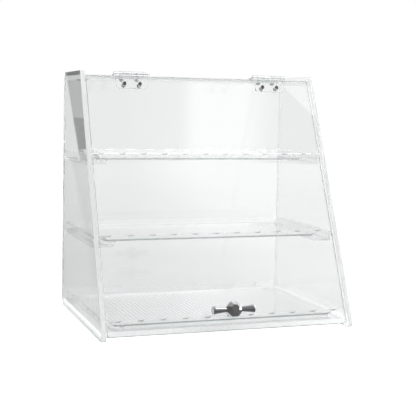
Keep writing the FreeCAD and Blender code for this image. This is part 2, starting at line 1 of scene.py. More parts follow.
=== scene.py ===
# Countertop bread display bin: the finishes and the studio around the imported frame.
import json
import math

import bmesh
import bpy
from mathutils import Matrix, Vector

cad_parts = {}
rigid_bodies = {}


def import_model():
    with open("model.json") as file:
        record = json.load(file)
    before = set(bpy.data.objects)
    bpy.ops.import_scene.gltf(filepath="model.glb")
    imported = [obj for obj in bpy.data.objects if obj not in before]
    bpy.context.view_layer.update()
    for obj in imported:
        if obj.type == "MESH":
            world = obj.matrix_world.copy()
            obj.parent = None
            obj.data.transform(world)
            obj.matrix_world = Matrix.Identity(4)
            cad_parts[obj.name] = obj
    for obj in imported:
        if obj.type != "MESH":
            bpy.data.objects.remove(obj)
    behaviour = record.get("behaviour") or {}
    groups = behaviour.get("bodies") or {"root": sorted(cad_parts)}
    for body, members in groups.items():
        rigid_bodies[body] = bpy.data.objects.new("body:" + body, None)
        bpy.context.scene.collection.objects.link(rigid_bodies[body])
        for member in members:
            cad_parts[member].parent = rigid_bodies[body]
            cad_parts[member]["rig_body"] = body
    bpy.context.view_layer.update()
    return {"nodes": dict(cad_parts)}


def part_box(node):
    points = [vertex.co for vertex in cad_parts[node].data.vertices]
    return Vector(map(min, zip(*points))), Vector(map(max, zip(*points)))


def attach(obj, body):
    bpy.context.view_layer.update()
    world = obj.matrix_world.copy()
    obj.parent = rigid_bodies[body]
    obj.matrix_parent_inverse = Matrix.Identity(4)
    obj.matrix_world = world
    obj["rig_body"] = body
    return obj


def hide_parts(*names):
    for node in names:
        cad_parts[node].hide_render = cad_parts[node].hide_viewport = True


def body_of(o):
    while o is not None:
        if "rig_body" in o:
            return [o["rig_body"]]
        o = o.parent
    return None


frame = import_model()
mm = 0.001
print("frame loaded:", len(frame["nodes"]), "nodes")


# Camera, set up from the photograph's frame of 416 by 416 pixels

camera = {
    "place": (-0.4639, -1.2600, 0.2974),    # m, in the frame's own axes
    "turn": 18.70,                          # degrees to the right of the case's own depth
    "tilt": -3.12,                          # degrees, down
    "roll": 1.04,                           # degrees
    "lens": 81.41,                          # mm
    "sensor": 36,                           # mm
    "pixels": 416,
    "axisPixel": (180, 160),                # where the lens axis meets the picture
    "reach": 50,                            # m
}


def addCamera(c):
    turn, tilt, roll = (math.radians(c[key]) for key in ("turn", "tilt", "roll"))
    ahead = Vector((math.sin(turn) * math.cos(tilt), math.cos(turn) * math.cos(tilt), math.sin(tilt)))
    levelRight = Vector((math.cos(turn), -math.sin(turn), 0))
    levelUp = levelRight.cross(ahead)
    right = math.cos(roll) * levelRight + math.sin(roll) * levelUp
    up = math.cos(roll) * levelUp - math.sin(roll) * levelRight
    data = bpy.data.cameras.new("camera")
    data.lens = c["lens"]
    data.sensor_width = c["sensor"]
    middle = c["pixels"] / 2
    data.shift_x = (middle - c["axisPixel"][0]) / c["pixels"]
    data.shift_y = (c["axisPixel"][1] - middle) / c["pixels"]
    data.clip_end = c["reach"]
    seat = bpy.data.objects.new("camera", data)
    seat.matrix_world = Matrix((
        (right.x, up.x, -ahead.x, c["place"][0]),
        (right.y, up.y, -ahead.y, c["place"][1]),
        (right.z, up.z, -ahead.z, c["place"][2]),
        (0, 0, 0, 1),
    ))
    bpy.context.collection.objects.link(seat)
    bpy.context.scene.camera = seat


addCamera(camera)
print("camera placed")


# Nodes: sums on sockets, and one way to add any other node, for shaders and for geometry

class Value:                                # an output socket that can be used in a sum
    def __init__(self, tree, node, output=0):
        self.tree = tree
        self.node = node
        self.socket = node.outputs[output]

    def out(self, output):                  # another output of the same node
        return Value(self.tree, self.node, output)

    def __add__(self, other):
        return self.tree.maths("ADD", self, other)

    def __radd__(self, other):
        return self.tree.maths("ADD", other, self)

    def __sub__(self, other):
        return self.tree.maths("SUBTRACT", self, other)

    def __rsub__(self, other):
        return self.tree.maths("SUBTRACT", other, self)

    def __mul__(self, other):
        return self.tree.maths("MULTIPLY", self, other)

    def __rmul__(self, other):
        return self.tree.maths("MULTIPLY", other, self)

    def __truediv__(self, other):
        return self.tree.maths("DIVIDE", self, other)

    def __pow__(self, other):
        return self.tree.maths("POWER", self, other)

    def __abs__(self):
        return self.tree.maths("ABSOLUTE", self)

    def atLeast(self, other):
        return self.tree.maths("MAXIMUM", self, other)

    def atMost(self, other):
        return self.tree.maths("MINIMUM", self, other)


class NodeTree:                             # the nodes of one material, world or geometry group
    def __init__(self, tree):
        self.tree = tree
        tree.nodes.clear()

    def add(self, kind, settings=None, inputs=None):
        node = self.tree.nodes.new(kind)
        for name, setting in (settings or {}).items():
            setattr(node, name, setting)
        for name, value in (inputs or {}).items():
            for one in value if isinstance(value, list) else [value]:
                if isinstance(one, Value):
                    self.tree.links.new(one.socket, node.inputs[name])
                else:
                    node.inputs[name].default_value = one
        return Value(self, node) if node.outputs else node

    def maths(self, operation, *values):
        return self.add("ShaderNodeMath", {"operation": operation}, dict(enumerate(values)))

    def ease(self, value, start, end):      # 0 at start, 1 at end, with a soft turn at both
        return self.add("ShaderNodeMapRange", {"interpolation_type": "SMOOTHSTEP"}, {
            "Value": value, "From Min": start, "From Max": end,
        })

    def band(self, value, start, end, softStart, softEnd):     # 1 between start and end
        return self.ease(value, start - softStart, start) * (1 - self.ease(value, end, end + softEnd))


class Shader(NodeTree):
    def __init__(self, owner):
        owner.use_nodes = True
        super().__init__(owner.node_tree)

    def noise(self, place, scale, detail, roughness):
        return self.add("ShaderNodeTexNoise", {}, {
            "Vector": place, "Scale": scale, "Detail": detail, "Roughness": roughness,
        })

    def bump(self, height, strength, distance):
        return self.add("ShaderNodeBump", {}, {
            "Height": height, "Strength": strength, "Distance": distance,
        })

    def finish(self, surface, **others):
        self.add("ShaderNodeOutputMaterial", {}, {"Surface": surface, **others})


def newMaterial(name):
    material = bpy.data.materials.new(name)
    shader = Shader(material)
    place = shader.add("ShaderNodeTexCoord").out("Object")
    return material, shader, place


# Clear plastics. A noise is given by its scale, its detail and its roughness

sheetFinish = {
    "tint": (0.965, 0.970, 0.970, 1),       # what one sheet lets through
    "index": 1.49,
    "haze": 0.02,                           # roughness of the worst smudge
    "waves": (5, 2, 0.4),                   # the surface isn't quite flat
    "waveDepth": 0.1 * mm,
    "loss": 0.8,                            # how fast light is lost on its way inside, per metre
}

trayFinish = {
    "tint": (0.97, 0.975, 0.975, 1),
    "index": 1.49,
    "haze": 0.05,
    "waves": (22, 2, 0.4),
    "waveDepth": 0.2 * mm,
    "loss": 6,
}

hingeFinish = {
    "tint": (0.97, 0.975, 0.975, 1),
    "index": 1.49,
    "haze": 0.08,
    "waves": (60, 2, 0.4),
    "waveDepth": 0.2 * mm,
    "loss": 5,
}

sawnFinish = {                              # cut edges and moulded rims, by each mesh's own sawn attribute; their glow is painted emission
    "tone": (0.93, 0.94, 0.94, 1),
    "roughness": 0.55,
    "even": 0.8,                            # share of the frosting that is the same all over
    "patchy": 0.4,                          # and the share that follows the scuffs
    "paintedGlowEven": 0.9,                        # painted glow: the same shares for the emission painted on there
    "paintedGlowPatchy": 0.2,
}

plasticWear = {
    "smudges": (9, 4, 0.6),
    "smudge": (0.5, 0.75),                  # noise levels where a smudge starts and where it is full
    "scuffs": (260, 3, 0.7),
    "waveStrength": 0.2,
    "insideTone": (0, 0.1, 0.08, 1),        # a thick piece looks very slightly green
}


def clearPlastic(name, f, cut, wear):
    material, shader, place = newMaterial(name)
    smudge = shader.ease(shader.noise(place, *wear["smudges"]), *wear["smudge"])
    scuff = shader.noise(place, *wear["scuffs"])
    wave = shader.noise(place, *f["waves"])
    polished = shader.add("ShaderNodeBsdfPrincipled", {}, {
        "Base Color": f["tint"],
        "Roughness": f["haze"] * smudge * scuff,
        "IOR": f["index"],
        "Transmission Weight": 1.0,
        "Normal": shader.bump(wave, wear["waveStrength"], f["waveDepth"]),
    })
    sawn = shader.add("ShaderNodeAttribute", {"attribute_name": "sawn"}).out("Fac")
    # painted glow: the frosted edges emit light of their own, standing in for light the sheet guides out
    # there
    glow = shader.add("ShaderNodeAttribute", {"attribute_name": "edgeGlow"}).out("Fac")
    frosted = shader.add("ShaderNodeBsdfPrincipled", {}, {
        "Base Color": cut["tone"],
        "Roughness": cut["roughness"],
        "Emission Color": glow * (cut["paintedGlowEven"] + cut["paintedGlowPatchy"] * scuff),
        "Emission Strength": 1.0,
    })
    surface = shader.add("ShaderNodeMixShader", {}, {
        0: sawn * (cut["even"] + cut["patchy"] * scuff), 1: polished, 2: frosted,
    })
    letThrough = shader.add("ShaderNodeBsdfTransparent", {}, {"Color": f["tint"]})
    inside = shader.add("ShaderNodeVolumeAbsorption", {}, {
        "Color": wear["insideTone"], "Density": f["loss"],
    })
    shader.finish(shader.add("ShaderNodeMixShader", {}, {
        0: shader.add("ShaderNodeLightPath").out("Is Shadow Ray"), 1: surface, 2: letThrough,
    }), Volume=inside)
    return material


# Metals

pinPaintedPaleFinish = {                               # painted light: pale, standing in for the brightness the pin shows deep inside the clear knuckles
    "tone": (0.85, 0.85, 0.867, 1),
    "stained": (0.595, 0.595, 0.612, 1),
    "metallic": 0.3,
    "roughness": 0.35,
}

fastenerFinish = {
    "tone": (0.42, 0.42, 0.4284, 1),
    "stained": (0.294, 0.294, 0.3024, 1),
    "metallic": 1.0,
    "roughness": 0.25,
}

steelWear = {
    "grain": (900, 3, 0.6),
    "grainRoughness": 0.12,                 # what the grain adds
    "grainStrength": 0.15,
    "grainDepth": 0.1 * mm,
    "stains": (120, 2, 0.5),
    "stain": (0.35, 0.7),                   # noise levels where a stain starts and where it is full
}

knobFinish = {
    "tone": (0.66, 0.66, 0.67, 1),
    "roughness": 0.05,
    "smudges": (70, 3, 0.6),
    "smudge": (0.45, 0.75),
    "smudgeRoughness": 0.08,                # what a full smudge adds
    "dentStrength": 0.05,
    "dentDepth": 0.2 * mm,
}


def brightSteel(name, f, wear):
    material, shader, place = newMaterial(name)
    grain = shader.noise(place, *wear["grain"])
    stain = shader.ease(shader.noise(place, *wear["stains"]), *wear["stain"])
    colour = shader.add("ShaderNodeMix", {"data_type": "RGBA"}, {
        "Factor": stain, "A": f["tone"], "B": f["stained"],
    }).out("Result")
    shader.finish(shader.add("ShaderNodeBsdfPrincipled", {}, {
        "Base Color": colour,
        "Metallic": f["metallic"],
        "Roughness": f["roughness"] + wear["grainRoughness"] * grain,
        "Normal": shader.bump(grain, wear["grainStrength"], wear["grainDepth"]),
    }))
    return material


def polishedChrome(name, f):
    material, shader, place = newMaterial(name)
    smudge = shader.noise(place, *f["smudges"])
    shader.finish(shader.add("ShaderNodeBsdfPrincipled", {}, {
        "Base Color": f["tone"],
        "Metallic": 1.0,
        "Roughness": f["roughness"] + f["smudgeRoughness"] * shader.ease(smudge, *f["smudge"]),
        "Normal": shader.bump(smudge, f["dentStrength"], f["dentDepth"]),
    }))
    return material


finishes = {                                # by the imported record's material slots
    "clear_sheet": clearPlastic("clearSheet", sheetFinish, sawnFinish, plasticWear),
    "clear_tray": clearPlastic("clearTray", trayFinish, sawnFinish, plasticWear),
    "hinge_plastic": clearPlastic("hingePlastic", hingeFinish, sawnFinish, plasticWear),
    "pin_steel": brightSteel("pinSteel", pinPaintedPaleFinish, steelWear),
    "fastener_steel": brightSteel("fastenerSteel", fastenerFinish, steelWear),
    "knob_chrome": polishedChrome("knobChrome", knobFinish),
}

slotOf = {}
for nodeName, nodeObject in frame["nodes"].items():
    given = nodeObject.data.materials[0].name
    slotOf[nodeName] = next(slot for slot in finishes if slot in given)
    for index in range(len(nodeObject.data.materials)):
        nodeObject.data.materials[index] = finishes[slotOf[nodeName]]
print("finishes made:", len(finishes))


# Sheets and hinge leaves: each is drawn in by a hair, so that light crosses real air between two pieces

sheetPieces = {
    "air": 0.03 * mm,
    "weld": 0.001 * mm,                     # corners this close are one
    "flatAngle": 0.2,                       # degrees; facets that turn less than this are one
    "flatWidth": 1.2 * mm,                  # a facet wider than this is a flat, not part of a round
    "sharpAngle": 35,                       # degrees
    "cutFacing": 0.5,                       # a cut edge faces the sheet's broad side less than this
    "endFacing": 0.9,                       # and an end faces left or right more than this
    "sawn": {                               # frosting of the cut edges
        "left_side_panel": 0.3,
        "right_side_panel": 0.3,
        "back_panel": 0.15,
        "top_panel": 0.6,
        "base_panel": 0.85,
        "front_door": 0.35,
    },
    "edgeGlow": {                           # painted glow on all of a sheet's edges: emission standing in for light the sheet guides out
        "left_side_panel": 0.22,
        "right_side_panel": 0.22,
        "base_panel": 0.08,
    },
    "paintedEndGlow": {                            # and more painted glow at its left and right ends
        "back_panel": 0.1,
        "top_panel": 0.5,
        "base_panel": 0.8,
    },
    "pieces": {
        "left_side_panel": "leftSidePanel",
        "right_side_panel": "rightSidePanel",
        "back_panel": "backPanel",
        "top_panel": "topPanel",
        "base_panel": "basePanel",
        "front_door": "frontDoor",
        "upper_left_rail": "upperLeftRail",
        "upper_right_rail": "upperRightRail",
        "middle_left_rail": "middleLeftRail",
        "middle_right_rail": "middleRightRail",
        "left_hinge_fixed_leaf": "leftHingeFixedLeaf",
        "right_hinge_fixed_leaf": "rightHingeFixedLeaf",
        "left_hinge_door_leaf": "leftHingeDoorLeaf",
        "right_hinge_door_leaf": "rightHingeDoorLeaf",
    },
}


def rideAndReplace(piece, node):
    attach(piece, body_of(frame["nodes"][node])[0])
    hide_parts(node)


def addSheet(node, name, s):
    work = bmesh.new()
    work.from_mesh(frame["nodes"][node].data)
    bmesh.ops.remove_doubles(work, verts=work.verts, dist=s["weld"])
    flat = math.radians(s["flatAngle"])
    bmesh.ops.dissolve_limit(work, angle_limit=flat, verts=work.verts, edges=work.edges)
    bmesh.ops.recalc_face_normals(work, faces=work.faces)
    moves = [(vert, vert.normal * s["air"] * vert.calc_shell_factor()) for vert in work.verts]
    for vert, move in moves:
        vert.co -= move
    for face in work.faces:
        longest = max(edge.calc_length() for edge in face.edges)
        face.smooth = face.calc_area() / longest < s["flatWidth"]
    bmesh.ops.triangulate(work, faces=work.faces)
    rounded = [face.smooth for face in work.faces]
    broad = max(work.faces, key=lambda face: face.calc_area()).normal.copy()
    cuts = [abs(face.normal.dot(broad)) < s["cutFacing"] for face in work.faces]
    ends = [abs(face.normal.x) > s["endFacing"] for face in work.faces]
    frosting = [s["sawn"].get(node, 0) * cut for cut in cuts]
    # painted glow for each face: the edge level, and more at the ends
    paintedGlows = [max(s["edgeGlow"].get(node, 0), s["paintedEndGlow"].get(node, 0) * end) for end in ends]
    mesh = bpy.data.meshes.new(name)
    work.to_mesh(mesh)
    work.free()
    mesh.set_sharp_from_angle(angle=math.radians(s["sharpAngle"]))
    mesh.polygons.foreach_set("use_smooth", rounded)
    mesh.attributes.new("sawn", "FLOAT", "FACE").data.foreach_set("value", frosting)
    mesh.attributes.new("edgeGlow", "FLOAT", "FACE").data.foreach_set("value", paintedGlows)
    mesh.materials.append(finishes[slotOf[node]])
    piece = bpy.data.objects.new(name, mesh)
    bpy.context.collection.objects.link(piece)
    rideAndReplace(piece, node)


for nodeName, pieceName in sheetPieces["pieces"].items():
    addSheet(nodeName, pieceName, sheetPieces)
print("sheets and leaves:", len(sheetPieces["pieces"]))


# Geometry node groups

def geometryTree(name, inputs):
    group = bpy.data.node_groups.new(name, "GeometryNodeTree")
    group.interface.new_socket("Geometry", in_out="OUTPUT", socket_type="NodeSocketGeometry")
    for label, kind in inputs.items():
        group.interface.new_socket(label, in_out="INPUT", socket_type="NodeSocket" + kind)
    tree = NodeTree(group)
    start = tree.add("NodeGroupInput")
    return group, tree, [start.out(label) for label in inputs]


def finishGeometry(tree, geometry, material):
    whole = tree.add("GeometryNodeRealizeInstances", {}, {"Geometry": geometry})
    tree.add("NodeGroupOutput", {}, {
        "Geometry": tree.add("GeometryNodeSetMaterial", {}, {"Geometry": whole, "Material": material}),
    })


def growPiece(name, group, values):
    piece = bpy.data.objects.new(name, bpy.data.meshes.new(name))
    bpy.context.collection.objects.link(piece)
    modifier = piece.modifiers.new("shape", "NODES")
    modifier.node_group = group
    for item in group.interface.items_tree:
        if item.in_out == "INPUT":
            modifier[item.identifier] = values[item.name]
    grown = piece.evaluated_get(bpy.context.evaluated_depsgraph_get())
    mesh = bpy.data.meshes.new_from_object(grown)
    piece.modifiers.remove(modifier)
    piece.data = mesh
    mesh.name = name
    return piece


# Trays: a pan with flared walls, a rim of rounded lobes, a floor ribbed from front to back, and four feet

tray = {
    "flare": 13.6 * mm,                     # how far the wall leans out
    "rise": 10.3 * mm,
    "wall": 2.2 * mm,                       # the floor's thickness
    "wallRun": 1.6 * mm,                    # the flared wall, measured level
    "innerRound": 1.5 * mm,                 # between the floor and the wall
    "rimCorner": 9.0 * mm,
    "floorCorner": 5.0 * mm,
    "lobePitch": 30.5 * mm,                 # about, as the lobes of a side are a whole number
    "lobeDrop": 1.4 * mm,                   # from a crest to a notch
    "lobeCrown": 0.6 * mm,                  # the part of it that a lobe's own curve has
    "lobeShare": 0.68,                      # of the pitch; the rest is the notch between two lobes
    "notchEase": 0.14,                      # of half the pitch, from a lobe's end to the notch's bottom
    "lip": 0.03 * mm,                       # the rim's edge, and what a notch and a lobe's crest add to it
    "notchLip": 0.5 * mm,
    "lobeLip": {
        "upper_tray": 1.4 * mm,
        "middle_tray": 0.3 * mm,
        "bottom_tray": 0.3 * mm,
    },
    "outerRound": 0.3 * mm,                 # the rim's outer corner in a notch
    "outerRoundRun": 0.8 * mm,
    "outerRoundLobe": 0.2,                  # share of it on a lobe
    "rimRound": 0.3 * mm,                   # the rim's inner corner in a notch
    "rimRoundLobe": 0.3,                    # share of it on a lobe
    "rimMatt": 0.8,                         # frosting of the rim's edge between its notches
    "paintedRimGlow": 0.55,                        # painted glow there: emission standing in for light the tray guides out
    "rimMattRun": (0.2 * mm, 0.6 * mm),     # inset where both begin to fade, and where they end
    "ribPitch": 6.0 * mm,
    "ribHeight": 0.062 * mm,
    "ribFade": 5.0 * mm,
    "foot": 15.0 * mm,
    "footInset": 1.0 * mm,
    "footCorner": 1.5 * mm,
    "footCornerSteps": 4,
    "air": 0.03 * mm,
    "weld": 0.002 * mm,                     # corners this close are one
    "sharpAngle": 30,                       # degrees
    "wallSteps": 24,
    "cornerStep": 21,                       # this step of the wall lies on the outer corner of the floor
    "stepsPerRib": 6,
    "rowStep": 3.0 * mm,
    "pieces": {"upper_tray": "upperTray", "middle_tray": "middleTray", "bottom_tray": "bottomTray"},
}


def trayGroup(t, material):
    group, tree, inputs = geometryTree("tray", {
        "Half Width": "Float", "Half Depth": "Float", "Foot Height": "Float",
        "Ribs": "Int", "Rows": "Int",
        "Width Lobes": "Int", "Depth Lobes": "Int", "Lobe Lip": "Float",
    })
    halfWidth, halfDepth, footHeight, ribs, rows, widthLobes, depthLobes, lobeLip = inputs
    slope = t["rise"] / t["flare"]
    fullWall = t["wall"] * math.hypot(t["flare"], t["rise"]) / t["rise"]    # as thick as the floor, level
    zone = fullWall + t["flare"]            # from the rim to where the floor is flat
    crowding = math.log(t["flare"] / zone) / math.log(t["cornerStep"] / t["wallSteps"])
    columns = ribs * t["stepsPerRib"]
    grid = tree.add("GeometryNodeMeshGrid", {}, {
        "Size X": 2.0, "Size Y": 2.0,
        "Vertices X": columns + 2 * t["wallSteps"] + 1,
        "Vertices Y": rows + 2 * t["wallSteps"] + 1,
    })
    start = tree.add("ShaderNodeSeparateXYZ", {}, {"Vector": tree.add("GeometryNodeInputPosition")})

    def fromMiddle(place, half, steps):     # even steps over the floor, closer ones towards the rim
        floorShare = steps / (steps + 2 * t["wallSteps"])
        up = ((abs(place) - floorShare) / (1 - floorShare)).atLeast(0)
        return (abs(place) / floorShare).atMost(1) * (half - zone) + zone * (1 - (1 - up) ** crowding)

    x = fromMiddle(start.out("X"), halfWidth, columns)
    y = fromMiddle(start.out("Y"), halfDepth, rows)
    sideInset, endInset = halfWidth - x, halfDepth - y
    inset = sideInset.atMost(endInset)
    ring = inset.atMost(zone)
    corner = t["rimCorner"] + (t["floorCorner"] - t["rimCorner"]) / zone * ring
    cornerX = (x - halfWidth + ring + corner).atLeast(0)
    cornerY = (y - halfDepth + ring + corner).atLeast(0)
    reach = tree.maths("SQRT", cornerX * cornerX + cornerY * cornerY)
    draw = 1 - cornerX.atLeast(cornerY) / reach.atLeast(t["weld"] / 2)      # never a division by zero
    roundX = (x - cornerX * draw) * tree.maths("SIGN", start.out("X"))
    roundY = (y - cornerY * draw) * tree.maths("SIGN", start.out("Y"))

    def dip(place, half, lobes):            # how far the rim falls from a lobe's crest to a notch
        turn = tree.maths("FRACT", place * lobes / (2 * half) + 0.5 * (lobes + 1))
        side = abs(2 * turn - 1)
        crown = t["lobeCrown"] * (side / t["lobeShare"]).atMost(1) ** 2
        fall = tree.ease(side, t["lobeShare"], t["lobeShare"] + t["notchEase"])
        return crown + (t["lobeDrop"] - t["lobeCrown"]) * fall

    onSide = tree.maths("LESS_THAN", sideInset, endInset)
    lobe = onSide * dip(roundY, halfDepth, depthLobes) + (1 - onSide) * dip(roundX, halfWidth, widthLobes)
    notch = tree.ease(lobe, t["lobeCrown"], t["lobeDrop"])

    def fullInNotch(size, lobeShare):       # this size in a notch, and only a share of it on a lobe
        return size * (lobeShare + (1 - lobeShare) * notch)

    outerRound = fullInNotch(t["outerRound"], t["outerRoundLobe"])
    rim = t["rise"] - lobe - outerRound * (1 - (inset / t["outerRoundRun"]).atMost(1)) ** 2
    inner = t["rise"] - (inset - t["wallRun"]) * slope
    inner = tree.maths("SMOOTH_MAX", inner, t["wall"], t["innerRound"])
    rib = 0.5 + 0.5 * tree.maths("COSINE", roundX * ribs * math.pi / (halfWidth - zone))
    ribbing = t["ribHeight"] * rib * tree.ease(inset, zone, zone + t["ribFade"])
    top = tree.maths("SMOOTH_MIN", inner, rim, fullInNotch(t["rimRound"], t["rimRoundLobe"])) + ribbing
    lip = t["lip"] + lobeLip * (1 - lobe / t["lobeDrop"]) + t["notchLip"] * notch
    under = (t["rise"] - inset * slope).atLeast(0).atMost(top - lip)

    def keep(geometry, name, value):        # a field kept on the points, before they move
        return tree.add("GeometryNodeStoreNamedAttribute", {"data_type": "FLOAT", "domain": "POINT"}, {
            "Geometry": geometry, "Name": name, "Value": value,
        })

    onRim = (1 - notch) * (1 - tree.ease(inset, *t["rimMattRun"]))
    kept = keep(grid, "sawn", t["rimMatt"] * onRim)
    # painted glow along the rim between its notches
    kept = keep(kept, "edgeGlow", t["paintedRimGlow"] * onRim)
    kept = keep(kept, "lip", lip)
    keptLip = tree.add("GeometryNodeInputNamedAttribute", {"data_type": "FLOAT"}, {"Name": "lip"})

    def sheetAt(height):
        return tree.add("GeometryNodeSetPosition", {}, {
            "Geometry": kept,
            "Position": tree.add("ShaderNodeCombineXYZ", {}, {"X": roundX, "Y": roundY, "Z": height}),
        })

    def closed(*sides):                     # joined and welded into one closed mesh
        return tree.add("GeometryNodeMergeByDistance", {}, {
            "Geometry": tree.add("GeometryNodeJoinGeometry", {}, {"Geometry": list(sides)}),
            "Distance": t["weld"],
        })

    def flipped(side):
        return tree.add("GeometryNodeFlipFaces", {}, {"Mesh": side})

    facesOfEdge = tree.add("GeometryNodeInputMeshEdgeNeighbors")
    rimEdge = tree.maths("LESS_THAN", facesOfEdge, 1.5)     # an edge that only one face has
    skirt = tree.add("GeometryNodeExtrudeMesh", {"mode": "EDGES"}, {
        "Mesh": sheetAt(top), "Selection": rimEdge,
        "Offset": tree.add("ShaderNodeCombineXYZ"), "Offset Scale": 0.0,
    })
    lid = tree.add("GeometryNodeSetPosition", {}, {
        "Geometry": skirt, "Selection": skirt.out("Top"),
        "Offset": tree.add("ShaderNodeCombineXYZ", {}, {"Z": 0 - keptLip}),
    })
    pan = closed(lid, flipped(sheetAt(under)))

    square = tree.add("GeometryNodeCurvePrimitiveQuadrilateral", {}, {
        "Width": t["foot"], "Height": t["foot"],
    })
    outline = tree.add("GeometryNodeFilletCurve", {"mode": "POLY"}, {
        "Curve": square, "Count": t["footCornerSteps"], "Radius": t["footCorner"],
    })
    sole = tree.add("GeometryNodeFillCurve", {}, {"Curve": outline})
    raised = tree.add("GeometryNodeExtrudeMesh", {"mode": "FACES"}, {
        "Mesh": sole, "Offset": tree.add("ShaderNodeCombineXYZ", {}, {"Z": footHeight}),
        "Offset Scale": 1.0, "Individual": False,
    })
    fromEdge = t["flare"] + t["footInset"] + t["foot"] / 2
    posts = tree.add("GeometryNodeMeshGrid", {}, {
        "Size X": 2 * (halfWidth - fromEdge), "Size Y": 2 * (halfDepth - fromEdge),
        "Vertices X": 2, "Vertices Y": 2,
    })
    feet = tree.add("GeometryNodeTransform", {}, {
        "Geometry": tree.add("GeometryNodeInstanceOnPoints", {}, {
            "Points": posts, "Instance": closed(raised, flipped(sole)),
        }),
        "Translation": tree.add("ShaderNodeCombineXYZ", {}, {"Z": -t["air"] - footHeight}),
    })
    finishGeometry(tree, tree.add("GeometryNodeJoinGeometry", {}, {"Geometry": [pan, feet]}), material)
    return group, zone


trayShape, trayZone = trayGroup(tray, finishes["clear_tray"])


def addTray(t, node, name):
    low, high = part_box(node)
    halfWidth = (high[0] - low[0]) / 2
    halfDepth = (high[1] - low[1]) / 2
    footHeight = high[2] - low[2] - t["rise"]
    piece = growPiece(name, trayShape, {
        "Half Width": halfWidth,
        "Half Depth": halfDepth,
        "Foot Height": footHeight - 2 * t["air"],
        "Ribs": round(2 * (halfWidth - trayZone) / t["ribPitch"]),
        "Rows": round(2 * (halfDepth - trayZone) / t["rowStep"]),
        "Width Lobes": round(2 * halfWidth / t["lobePitch"]),
        "Depth Lobes": round(2 * halfDepth / t["lobePitch"]),
        "Lobe Lip": t["lobeLip"][node],
    })
    middle = Vector(((low[0] + high[0]) / 2, (low[1] + high[1]) / 2, low[2] + footHeight))
    piece.data.transform(Matrix.Translation(middle))
    piece.data.polygons.foreach_set("use_smooth", [True] * len(piece.data.polygons))
    piece.data.set_sharp_from_angle(angle=math.radians(t["sharpAngle"]))
    rideAndReplace(piece, node)
    print(name, len(piece.data.polygons), "faces")


for nodeName, pieceName in tray["pieces"].items():
    addTray(tray, nodeName, pieceName)
print("trays moulded")


# Studio. Turns are degrees to the right of +Y, and rises are degrees above level. Two numbers are the start
# and the end of a soft change. Four are a band: its start, its end, and how softly it starts and ends

studioFloor = {                             # lit by the lamps, with more light for each kind of ray
    "radius": 4.0,                          # m
    "rimSteps": 64,
    "tone": 0.8,
    "seen": 0.45,                           # added where the camera sees it bare
    "seenUnder": 0.25,                      # and more below the case
    "through": 0.05,                        # added where it is seen through clear plastic
    "throughFar": 0.235,                    # more of it far behind the case
    "throughRight": 0.15,                   # and towards the lamps
    "throughUnder": 0.26,                   # and below the case
    "throughAhead": 0.50,                   # and in front of it, which only light guided by an edge finds
    "mirror": 0.42,                         # all that glossy surfaces find of it, behind the case
    "mirrorAhead": 0.10,                    # and in front of it
    "mirrorNear": 0.16,                     # and more close to its left side
    "flagShade": 0.65,                      # share that the dark board takes away beyond its foot
    "farY": (0.2, 3.4),                     # m, as all that follow
    "rightX": (-0.15, 0.30),
    "rightLean": 0.27,                      # how far rightX moves with each metre of Y
    "underX": (-0.19, 0.19, 0.05, 0.05),
    "underY": (-0.14, 0.13, 0.05, 0.05),
    "aheadY": (-0.5, -0.2),
    "behindY": (-0.25, 0.1),
    "nearX": (-0.27, -0.17, 0.03, 0.02),
    "nearY": (-0.14, 0.22, 0.03, 0.06),
    "flagFoot": (0.20, 0.22),               # to the left
    "flagLean": 0.2024,                     # how far flagFoot moves with each metre of Y
}


def addFloor(s):
    mesh = bpy.data.meshes.new("floor")
    angles = [2 * math.pi * step / s["rimSteps"] for step in range(s["rimSteps"])]
    rim = [(s["radius"] * math.cos(angle), s["radius"] * math.sin(angle), 0) for angle in angles]
    mesh.from_pydata(rim, [], [tuple(range(len(rim)))])
    floor = bpy.data.objects.new("floor", mesh)
    bpy.context.collection.objects.link(floor)

    material, shader, place = newMaterial("paleFloor")
    path = shader.add("ShaderNodeLightPath")
    ground = shader.add("ShaderNodeSeparateXYZ", {}, {"Vector": place})
    x, y = ground.out("X"), ground.out("Y")
    far = shader.ease(y, *s["farY"])
    right = shader.ease(x - s["rightLean"] * y, *s["rightX"])
    under = shader.band(x, *s["underX"]) * shader.band(y, *s["underY"])
    ahead = 1 - shader.ease(y, *s["aheadY"])
    near = shader.band(x, *s["nearX"]) * shader.band(y, *s["nearY"])
    flag = shader.ease(0 - x - s["flagLean"] * y, *s["flagFoot"])
    behind = shader.ease(y, *s["behindY"]) * (1 - s["flagShade"] * flag)

    seen = s["seen"] + s["seenUnder"] * under
    through = s["through"] + s["throughFar"] * far + s["throughRight"] * right
    through = through + s["throughUnder"] * under + s["throughAhead"] * ahead
    mirrored = s["mirrorAhead"] + (s["mirror"] - s["mirrorAhead"]) * behind + s["mirrorNear"] * near

    def glow(strength):
        return shader.add("ShaderNodeEmission", {}, {"Color": (1, 1, 1, 1), "Strength": strength})

    lit = shader.add("ShaderNodeBsdfDiffuse", {}, {"Color": (s["tone"],) * 3 + (1,)})
    added = glow(path.out("Is Camera Ray") * seen + path.out("Is Transmission Ray") * through)
    shader.finish(shader.add("ShaderNodeMixShader", {}, {
        0: path.out("Is Glossy Ray") * (1 - path.out("Is Transmission Ray")),
        1: shader.add("ShaderNodeAddShader", {}, {0: lit, 1: added}), 2: glow(mirrored),
    }))
    mesh.materials.append(material)


addFloor(studioFloor)
print("floor laid")

